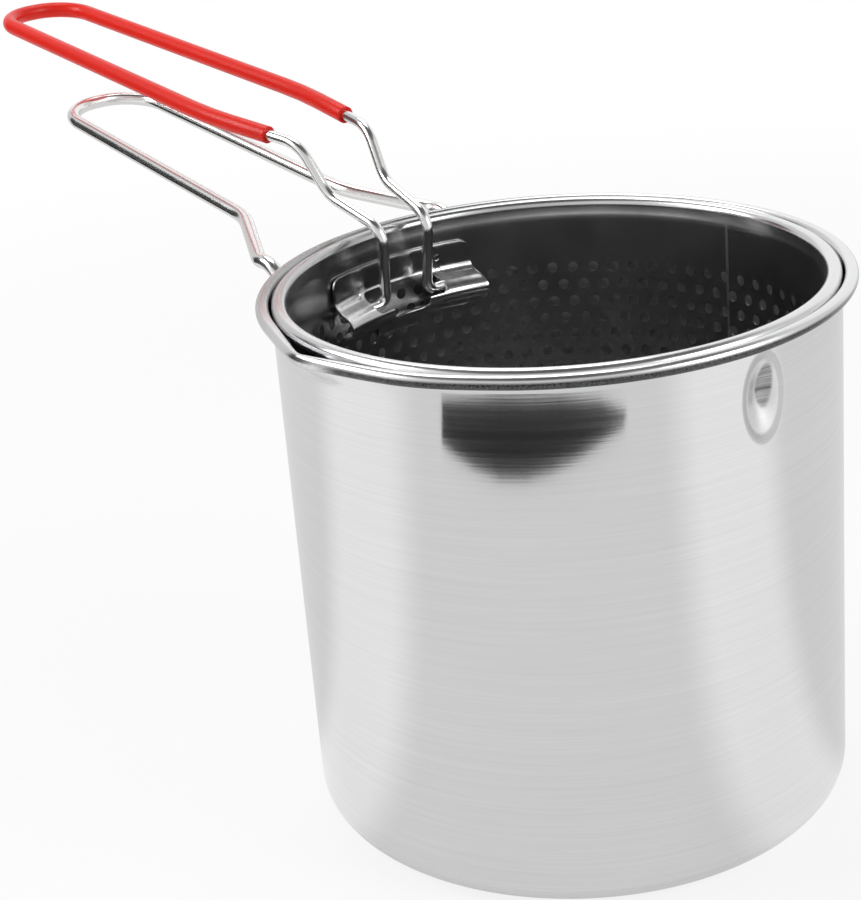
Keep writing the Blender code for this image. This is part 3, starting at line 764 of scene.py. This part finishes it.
top_row = POT_HEIGHT - FIRST_ROW_DROP
wall_cells = [
    ((column + (row % 2) / 2) * HOLE_PITCH, -row * ROW_PITCH)
    for row in range(HOLE_ROWS)
    for column in range(HOLE_COLUMNS)
]
wall_shape = perforated_sheet(wall_cells)
for vert in wall_shape.verts:
    angle = FIRST_HOLE_ANGLE + vert.co.x / BASKET_RADIUS
    row_height = top_row + vert.co.y
    vert.co = (BASKET_RADIUS * math.cos(angle), BASKET_RADIUS * math.sin(angle), row_height)
bmesh.ops.remove_doubles(wall_shape, verts=wall_shape.verts, dist=WRAP_MERGE)
sheet_top = top_row + ROW_PITCH / 2
sheet_foot = top_row - (HOLE_ROWS - 0.5) * ROW_PITCH
boundary = [edge for edge in wall_shape.edges if edge.is_boundary]
upper = [
    edge for edge in boundary if min(vert.co.z for vert in edge.verts) > sheet_top - EDGE_TOLERANCE
]
lower = [
    edge for edge in boundary if max(vert.co.z for vert in edge.verts) < sheet_foot + EDGE_TOLERANCE
]
rise = [(BASKET_RADIUS + out, BASKET_BEAD_HEIGHT - drop) for out, drop in BAND_RINGS]
rise += arc(
    BASKET_BEAD_CENTRE,
    BASKET_BEAD_HEIGHT,
    BASKET_BEAD,
    BASKET_CURL_START,
    BASKET_CURL_END,
    BASKET_BEAD_STEPS,
)
for ring_radius, ring_height in rise:
    upper = extend_ring(wall_shape, upper, ring_radius, ring_height)
fall = arc(
    BASKET_RADIUS - BASKET_CORNER,
    BASKET_UNDERSIDE + BASKET_SHEET + BASKET_CORNER,
    BASKET_CORNER,
    0,
    -math.pi / 2,
    BASKET_CORNER_STEPS,
)
fall.append((BASKET_RADIUS - BASKET_LIP, BASKET_UNDERSIDE + BASKET_SHEET))
for ring_radius, ring_height in fall:
    lower = extend_ring(wall_shape, lower, ring_radius, ring_height)
wall_shape = thickened(wall_shape, "basket_sheet", BASKET_SHEET)

satin = Finish("basket_steel")
place = satin.place()
across, along, up = satin.split(place)
radius = (across * across + along * along) ** 0.5
lines = satin.noise(satin.stretched(place, (30, 30, 1500)), 1.0, 2, 0.6)
clouds = satin.noise(place, 60, 3, 0.6)
turned = satin.bearing(across, along)
seam = turned.band(SEAM_ANGLE - SEAM_HALF_ANGLE, SEAM_ANGLE + SEAM_HALF_ANGLE, SEAM_EDGE)
seam = seam * up.band(*SEAM_HEIGHTS, SEAM_END) * (1 - radius.rising(*WALL_OUTSIDE_RISE))
bead = up.rising(*BASKET_BEAD_RISE)
# The bead's rear, where a painted reflection darkens it
rear_side = satin.bearing(across * -1, along * -1).band(*BEAD_REAR, BEAD_REAR_EDGE)
tone = BASKET_TONE + (clouds - 0.5) * 0.08 + (lines - 0.5) * 0.05 + seam * 0.10
# Painted sheen on the bead, and a painted reflection darkening its rear
tone = tone + bead * (BEAD_PAINTED_SHEEN - rear_side * BEAD_REAR_PAINTED_SHADE)
satin_steel = satin.surface(
    {
        "Base Color": satin.grey(tone, blue=STEEL_BLUE),
        "Metallic": 1.0,
        "Roughness": BASKET_ROUGHNESS + (clouds - 0.5) * 0.1 - bead * 0.03 + seam * 0.1,
        "Normal": satin.bump(lines * (1 - bead) * 0.4 + seam * 3.0 + clouds * 2.0, BASKET_BUMP),
    }
)
add_piece(
    wall_shape,
    "basket_sheet",
    satin_steel,
    "basket",
    "basket_wall",
    BASKET_CRISP,
)


# The basket's base is a perforated disc with an upturned flange, welded inside the wall's foot.
BASE_RADIUS = BASKET_RADIUS - TOUCH_GAP - BASKET_SHEET
BASE_CORNER = BASKET_CORNER - TOUCH_GAP - BASKET_SHEET
BASE_HEIGHT = BASKET_UNDERSIDE + BASKET_SHEET + TOUCH_GAP + BASKET_SHEET
BASE_FLANGE_RISE = 0.006
BASE_FLANGE_STEPS = 5
BASE_HOLES_RADIUS = 0.0665
BASE_RING_STEPS = 180
BASE_CELL_REACH = 12
RIM_TOLERANCE = 0.0003
RING_TOLERANCE = 0.0001

base_cells = []
for row in range(-BASE_CELL_REACH, BASE_CELL_REACH + 1):
    for column in range(-BASE_CELL_REACH, BASE_CELL_REACH + 1):
        centre = ((column + (row % 2) / 2) * HOLE_PITCH, row * ROW_PITCH)
        if math.hypot(*centre) < BASE_HOLES_RADIUS:
            base_cells.append(centre)


def is_off_holes(edge):
    """Whether an edge keeps away from the rim of the hole nearest to it."""
    for vert in edge.verts:
        away = min((vert.co.xy - Vector(centre)).length for centre in base_cells)
        if abs(away - HOLE_RADIUS) <= RIM_TOLERANCE:
            return False
    return True


base_shape = perforated_sheet(base_cells)
outline = [edge for edge in base_shape.edges if edge.is_boundary and is_off_holes(edge)]
bmesh.ops.create_circle(base_shape, segments=BASE_RING_STEPS, radius=BASE_RADIUS - BASE_CORNER)
base_rim = [
    edge
    for edge in base_shape.edges
    if all(abs(vert.co.length - BASE_RADIUS + BASE_CORNER) < RING_TOLERANCE for vert in edge.verts)
]
bmesh.ops.triangle_fill(base_shape, use_beauty=True, use_dissolve=False, edges=outline + base_rim)
bmesh.ops.translate(base_shape, vec=(0, 0, BASE_HEIGHT), verts=base_shape.verts)
flange = arc(
    BASE_RADIUS - BASE_CORNER,
    BASE_HEIGHT + BASE_CORNER,
    BASE_CORNER,
    -math.pi / 2,
    0,
    BASE_FLANGE_STEPS,
)[1:]
flange.append((BASE_RADIUS, BASKET_UNDERSIDE + BASE_FLANGE_RISE))
for ring_radius, ring_height in flange:
    base_rim = extend_ring(base_shape, base_rim, ring_radius, ring_height)
base_shape = thickened(base_shape, "basket_floor", BASKET_SHEET)
add_piece(
    base_shape,
    "basket_floor",
    satin_steel,
    "basket",
    "basket_base",
    BASKET_CRISP,
)


# The handles are bent from bright steel wire. The basket's wire runs from its bracket up over the
# rims to a long loop, and the pot's thicker wire splays out from its own bracket below it.
WIRE_SIDES = 28
BEND_STEP = math.radians(5)
WIRE_END = 0.0004
LOOP_BEND_SHARE = 0.96
RIM = POT_HEIGHT
END_BEVEL_STEPS = 3
WIRE_TONE = 0.86
WIRE_RED, WIRE_BLUE = 1.004, 0.992
WIRE_ROUGHNESS = 0.17
WIRE_BUMP = 0.000003
WIRE_CRISP = 60
# (out from the hinge, aside, above the rim), bend radius
BASKET_WIRE_CORNERS = [
    ((0.0, 0.0253, -0.0208), 0.0),
    ((0.0, 0.0082, -0.0208), 0.0036),
    ((-0.0024, 0.0089, 0.0033), 0.0070),
    ((0.0201, 0.0110, 0.0109), 0.0120),
    ((0.0300, 0.0134, 0.0262), 0.0120),
    ((0.0700, 0.0188, 0.0310), 0.1200),
    ((0.2106, 0.0148, 0.0482), 0.0148 * LOOP_BEND_SHARE),
]
POT_WIRE_CORNERS = [
    ((0.0, 0.0090, -0.0195), 0.0),
    ((0.0, 0.0335, -0.0195), 0.0048),
    ((0.0039, 0.0351, -0.0044), 0.0080),
    ((0.0129, 0.0346, -0.0050), 0.0080),
    ((0.0408, 0.0195, 0.0004), 0.0240),
    ((0.1577, 0.0167, 0.0195), 0.0167 * LOOP_BEND_SHARE),
]


def wire_path(corners, hinge_reach):
    """Both halves of a handle's centre line, with each corner rounded by its bend."""
    half = [
        (Vector((-hinge_reach - out, aside, RIM + above)), bend)
        for (out, aside, above), bend in corners
    ]
    other = [(Vector((corner.x, -corner.y, corner.z)), bend) for corner, bend in reversed(half)]
    full = half + other
    points = [full[0][0]]
    for (before, _), (corner, bend), (after, _) in zip(full, full[1:], full[2:]):
        arriving = (corner - before).normalized()
        leaving = (after - corner).normalized()
        bend_angle = arriving.angle(leaving)
        start = corner - arriving * bend * math.tan(bend_angle / 2)
        axis = arriving.cross(leaving).normalized()
        centre = start + axis.cross(arriving) * bend
        steps = max(2, math.ceil(bend_angle / BEND_STEP))
        for step in range(steps + 1):
            swing = Matrix.Rotation(bend_angle * step / steps, 3, axis)
            points.append(centre + swing @ (start - centre))
    points.append(full[-1][0])
    return points


def swept(points, radius, sides, end_bevel):
    """A round bar along a path: a ring is carried from point to point, and both ends are closed."""
    shape = bmesh.new()
    heading = (points[1] - points[0]).normalized()
    pose = Matrix.Translation(points[0]) @ heading.to_track_quat("Z", "Y").to_matrix().to_4x4()
    bmesh.ops.create_circle(shape, cap_ends=True, segments=sides, radius=radius, matrix=pose)
    ring = shape.edges[:]
    here = points[0]
    for index in range(1, len(points)):
        ahead = points[min(index + 1, len(points) - 1)]
        arriving = (points[index] - points[index - 1]).normalized()
        next_heading = arriving + (ahead - points[index]).normalized()
        next_heading.normalize()
        grown = bmesh.ops.extrude_edge_only(shape, edges=ring)["geom"]
        verts = {item for item in grown if isinstance(item, bmesh.types.BMVert)}
        ring = [item for item in grown if isinstance(item, bmesh.types.BMEdge)]
        ring = [edge for edge in ring if verts.issuperset(edge.verts)]
        swing = heading.rotation_difference(next_heading).to_matrix().to_4x4()
        move = Matrix.Translation(points[index]) @ swing @ Matrix.Translation(-here)
        bmesh.ops.transform(shape, matrix=move, verts=list(verts))
        heading = next_heading
        here = points[index]
    bmesh.ops.edgeloop_fill(shape, edges=ring)
    bmesh.ops.recalc_face_normals(shape, faces=shape.faces)
    caps = [face for face in shape.faces if len(face.verts) > 4]
    rims = [edge for face in caps for edge in face.edges]
    bmesh.ops.bevel(
        shape,
        geom=rims,
        offset=end_bevel,
        segments=END_BEVEL_STEPS,
        profile=0.5,
        affect="EDGES",
        material=-1,
    )
    return shape


bright = Finish("bright_wire")
place = bright.place()
draw_marks = bright.noise(bright.stretched(place, (60, 900, 900)), 1.0, 2, 0.6)
smudges = bright.noise(place, 130, 3, 0.6)
tone = WIRE_TONE + (smudges - 0.5) * 0.10 + (draw_marks - 0.5) * 0.05
bright_steel = bright.surface(
    {
        "Base Color": bright.grey(tone, red=WIRE_RED, blue=WIRE_BLUE),
        "Metallic": 1.0,
        "Roughness": WIRE_ROUGHNESS + (smudges - 0.5) * 0.1,
        "Normal": bright.bump(draw_marks + smudges * 2.0, WIRE_BUMP),
    }
)
basket_path = wire_path(BASKET_WIRE_CORNERS, BASKET_HINGE[0])
basket_wire = swept(basket_path, BASKET_WIRE, WIRE_SIDES, WIRE_END)
add_piece(
    basket_wire,
    "basket_wire",
    bright_steel,
    "basket_handle",
    "basket_handle_wire",
    WIRE_CRISP,
)
pot_path = wire_path(POT_WIRE_CORNERS, POT_HINGE[0])
pot_wire = swept(pot_path, POT_WIRE, WIRE_SIDES, WIRE_END)
add_piece(
    pot_wire,
    "pot_wire",
    bright_steel,
    "pot_handle",
    "pot_handle_wire",
    WIRE_CRISP,
)


# A red plastic sleeve is pushed over the loop of the basket's handle, and its ends are cut square.
SLEEVE_RADIUS = 0.00273
SLEEVE_START = 0.0432
SLEEVE_RECESS = 0.0012
SLEEVE_EDGE = 0.00018
SLEEVE_SIDES = 36
SLEEVE_BORE_GAP = 0.00005
SLEEVE_DEEP_RED = (0.74, 0.014, 0.006, 1)
SLEEVE_LIGHT_RED = (0.82, 0.022, 0.010, 1)
SLEEVE_ROUGHNESS = 0.30
SLEEVE_SHINE = 0.30
SLEEVE_BUMP = 0.00004

first, crown = BASKET_WIRE_CORNERS[4][0], BASKET_WIRE_CORNERS[5][0]
share = (SLEEVE_START - first[0]) / (crown[0] - first[0])
sleeve_start = tuple(low + (high - low) * share for low, high in zip(first, crown))
sleeve_corners = [(sleeve_start, 0.0)] + BASKET_WIRE_CORNERS[5:]
sleeve_path = wire_path(sleeve_corners, BASKET_HINGE[0])
sleeve_shape = swept(sleeve_path, SLEEVE_RADIUS, SLEEVE_SIDES, SLEEVE_EDGE)
sleeve_wall = SLEEVE_RADIUS - SLEEVE_EDGE - BASKET_WIRE - SLEEVE_BORE_GAP
ends = [face for face in sleeve_shape.faces if len(face.verts) > 4]
for face in ends:
    bmesh.ops.inset_region(sleeve_shape, faces=[face], thickness=sleeve_wall)
    pushed = bmesh.ops.extrude_discrete_faces(sleeve_shape, faces=[face])["faces"]
    inward = -pushed[0].normal * SLEEVE_RECESS
    bmesh.ops.translate(sleeve_shape, vec=inward, verts=list(pushed[0].verts))

red = Finish("red_sleeve")
place = red.place()
ripple = red.noise(place, 240, 2, 0.5)
dust = red.noise(place, 1500, 2, 0.6)
shade = red.noise(place, 45, 2, 0.5)
red_plastic = red.surface(
    {
        "Base Color": red.blend(shade, SLEEVE_DEEP_RED, SLEEVE_LIGHT_RED),
        "Roughness": SLEEVE_ROUGHNESS + (dust - 0.5) * 0.14,
        "Specular IOR Level": SLEEVE_SHINE,
        "Normal": red.bump(ripple + dust * 0.15, SLEEVE_BUMP),
    }
)
add_piece(
    sleeve_shape,
    "red_sleeve",
    red_plastic,
    "basket_handle",
    "grip_sleeve",
    WIRE_CRISP,
)


# The studio: a pale floor, a white surround with three brighter sides and a dark one, soft boxes,
# and two dark cards on the floor: one in front, which the pot's wall mirrors, and one behind the
# handles.
FLOOR_SIZE = 6.0
FLOOR_GAP = 0.0002
FLOOR_FAR = (0.35, 0.9)
FLOOR_TONE = 0.92
FLOOR_MIRRORED = 0.72
FLOOR_LOBE_GAIN = 0.22
FLOOR_NEAR_GLOW = 0.80
CARD_TONE = 0.028
CARD_HEIGHT = 0.0006
LEFT_LOBE = math.radians(-122)
RIGHT_LOBE = math.radians(20)
LOBE_WIDTH = math.radians(20)
LOBE_EDGE = math.radians(9)
LEFT_SKY_WIDTH = LOBE_WIDTH * 1.3
RIGHT_SKY_WIDTH = LOBE_WIDTH * 1.5
DARK_EDGE = LOBE_EDGE * 0.3
WHITE = (1, 1, 1, 1)
# (azimuth in degrees, reach from the pot's axis in metres)
CARD_OUTLINE = [
    (-86, 0.415),
    (-81, 0.403),
    (-74, 0.390),
    (-65, 0.381),
    (-56, 0.381),
    (-47, 0.388),
    (-38.5, 0.399),
    (-29.5, 0.415),
    (-21, 0.431),
    (-19, 0.447),
    (-28.6, 0.467),
    (-42, 0.477),
    (-63.5, 0.479),
    (-85, 0.470),
]
BACK_CARD_OUTLINE = [(194, 0.56), (216, 0.56), (238, 0.56), (238, 2.9), (216, 2.9), (194, 2.9)]
CARD_STEPS = 5
BACK_LOBE = math.radians(125)
BACK_LOBE_WIDTH = math.radians(38)
DARK_SIDE = math.radians(216)
DARK_HALF_WIDTH = math.radians(24)
# How steeply a ray climbs, as the sine of its angle
DARK_SIDE_TOP = (0.44, 0.56)
OVERHEAD_RISE = (0.62, 0.88)
SURROUND_LEVEL = 0.68
LOBE_GAIN = 0.32
OVERHEAD_SHADE = 0.86
DARK_SIDE_SHADE = 0.95
FILL_STRENGTH = 0.42


def ray_kinds(finish):
    """1 for rays from the camera, and 1 for those that metal or glass sends on."""
    kinds = finish.node("ShaderNodeLightPath").socket.node.outputs
    names = ("Is Camera Ray", "Is Glossy Ray", "Is Transmission Ray")
    seen, glossy, through = [Level(finish, kinds[name]) for name in names]
    return seen, glossy.maths("MAXIMUM", glossy, through)


def backdrop(finish, colour, strength):
    """A background of the world's light."""
    return finish.node("ShaderNodeBackground", None, {"Color": colour, "Strength": strength})


floor_shape = bmesh.new()
bmesh.ops.create_grid(floor_shape, x_segments=1, y_segments=1, size=FLOOR_SIZE / 2)
bmesh.ops.translate(floor_shape, vec=(0, 0, -FLOOR_GAP), verts=floor_shape.verts)
floor = placed(floor_shape, "floor")
pale = Finish("pale_floor")
matt = pale.node("ShaderNodeBsdfDiffuse", None, {"Color": (FLOOR_TONE, FLOOR_TONE, FLOOR_TONE, 1)})
across, along, up = pale.split(pale.place())
distance = (across * across + along * along) ** 0.5
bearing = pale.bearing(across, along)
left_lobe = bearing.band(LEFT_LOBE - LOBE_WIDTH, LEFT_LOBE + LOBE_WIDTH, LOBE_EDGE)
right_lobe = bearing.band(RIGHT_LOBE - LOBE_WIDTH, RIGHT_LOBE + LOBE_WIDTH, LOBE_EDGE)
mirror_level = FLOOR_MIRRORED + (left_lobe + right_lobe) * FLOOR_LOBE_GAIN
is_seen, is_mirrored = ray_kinds(pale)
level = mirror_level + is_seen * (1 - mirror_level)
glow = pale.node("ShaderNodeEmission", None, {"Color": pale.grey(level), "Strength": 1.0})
far = distance.rising(*FLOOR_FAR)
glow_share = is_seen.maths("MAXIMUM", is_seen, is_mirrored)
glow_share = glow_share * (FLOOR_NEAR_GLOW + far * (1 - FLOOR_NEAR_GLOW))
lit = pale.node("ShaderNodeMixShader", None, {0: glow_share, 1: matt, 2: glow})
pale.node("ShaderNodeOutputMaterial", None, {"Surface": lit})
floor.data.materials.append(pale.material)

card_shape = bmesh.new()
for outline in (CARD_OUTLINE, BACK_CARD_OUTLINE):
    card_verts = []
    for (angle, reach), (next_angle, next_reach) in zip(outline, outline[1:] + outline[:1]):
        for step in range(CARD_STEPS):
            share = step / CARD_STEPS
            side = math.radians(angle + (next_angle - angle) * share)
            spread = reach + (next_reach - reach) * share
            corner = (spread * math.cos(side), spread * math.sin(side), CARD_HEIGHT)
            card_verts.append(card_shape.verts.new(corner))
    card_shape.faces.new(card_verts)
bmesh.ops.recalc_face_normals(card_shape, faces=card_shape.faces)
card = placed(card_shape, "dark_card")
card.visible_camera = False
card.visible_shadow = False
card.visible_diffuse = False
black = Finish("dark_card")
matt = black.node("ShaderNodeBsdfDiffuse", None, {"Color": (CARD_TONE, CARD_TONE, CARD_TONE, 1)})
black.node("ShaderNodeOutputMaterial", None, {"Surface": matt})
card.data.materials.append(black.material)

world = bpy.data.worlds.new("studio")
scene.world = world
surround = Finish("studio", world)
way = surround.node("ShaderNodeTexCoord", output="Generated")
east, north, up = surround.split(way)
bearing = surround.bearing(east, north)
opposite = surround.bearing(east * -1, north * -1)
left_lobe = bearing.band(LEFT_LOBE - LEFT_SKY_WIDTH, LEFT_LOBE + LEFT_SKY_WIDTH, LOBE_EDGE)
right_lobe = bearing.band(RIGHT_LOBE - RIGHT_SKY_WIDTH, RIGHT_LOBE + RIGHT_SKY_WIDTH, LOBE_EDGE)
back_lobe = bearing.band(BACK_LOBE - BACK_LOBE_WIDTH, BACK_LOBE + BACK_LOBE_WIDTH, LOBE_EDGE)
dark_middle = DARK_SIDE - math.pi
dark_side = opposite.band(dark_middle - DARK_HALF_WIDTH, dark_middle + DARK_HALF_WIDTH, DARK_EDGE)
dark_side = dark_side * (1 - up.rising(*DARK_SIDE_TOP))
overhead = up.rising(*OVERHEAD_RISE)
level = SURROUND_LEVEL + (left_lobe + right_lobe + back_lobe) * LOBE_GAIN
level = level * (1 - overhead * OVERHEAD_SHADE) * (1 - dark_side * DARK_SIDE_SHADE)
mirrored = backdrop(surround, surround.grey(level), 1.0)
fill = backdrop(surround, WHITE, FILL_STRENGTH)
plain = backdrop(surround, WHITE, 1.0)
is_seen, is_mirrored = ray_kinds(surround)
bounced = surround.node("ShaderNodeMixShader", None, {0: is_mirrored, 1: fill, 2: mirrored})
sky = surround.node("ShaderNodeMixShader", None, {0: is_seen, 1: bounced, 2: plain})
surround.node("ShaderNodeOutputWorld", None, {"Surface": sky})

# (name, azimuth in degrees, reach, height, size, watts)
LAMPS = [
    ("left_box", -130, 0.9, 0.75, 0.55, 4.5),
    ("right_box", 22, 0.9, 0.70, 0.45, 3.5),
    ("top_box", 150, 0.5, 1.1, 0.6, 3.0),
]
for name, azimuth, reach, high, size, watts in LAMPS:
    lamp_data = bpy.data.lights.new(name, "AREA")
    lamp_data.shape = "SQUARE"
    lamp_data.size = size
    lamp_data.energy = watts
    lamp = bpy.data.objects.new(name, lamp_data)
    scene.collection.objects.link(lamp)
    angle = math.radians(azimuth)
    lamp.location = (reach * math.cos(angle), reach * math.sin(angle), high)
    aim = Vector((0, 0, POT_HEIGHT / 2)) - lamp.location
    lamp.rotation_euler = aim.to_track_quat("-Z", "Y").to_euler()
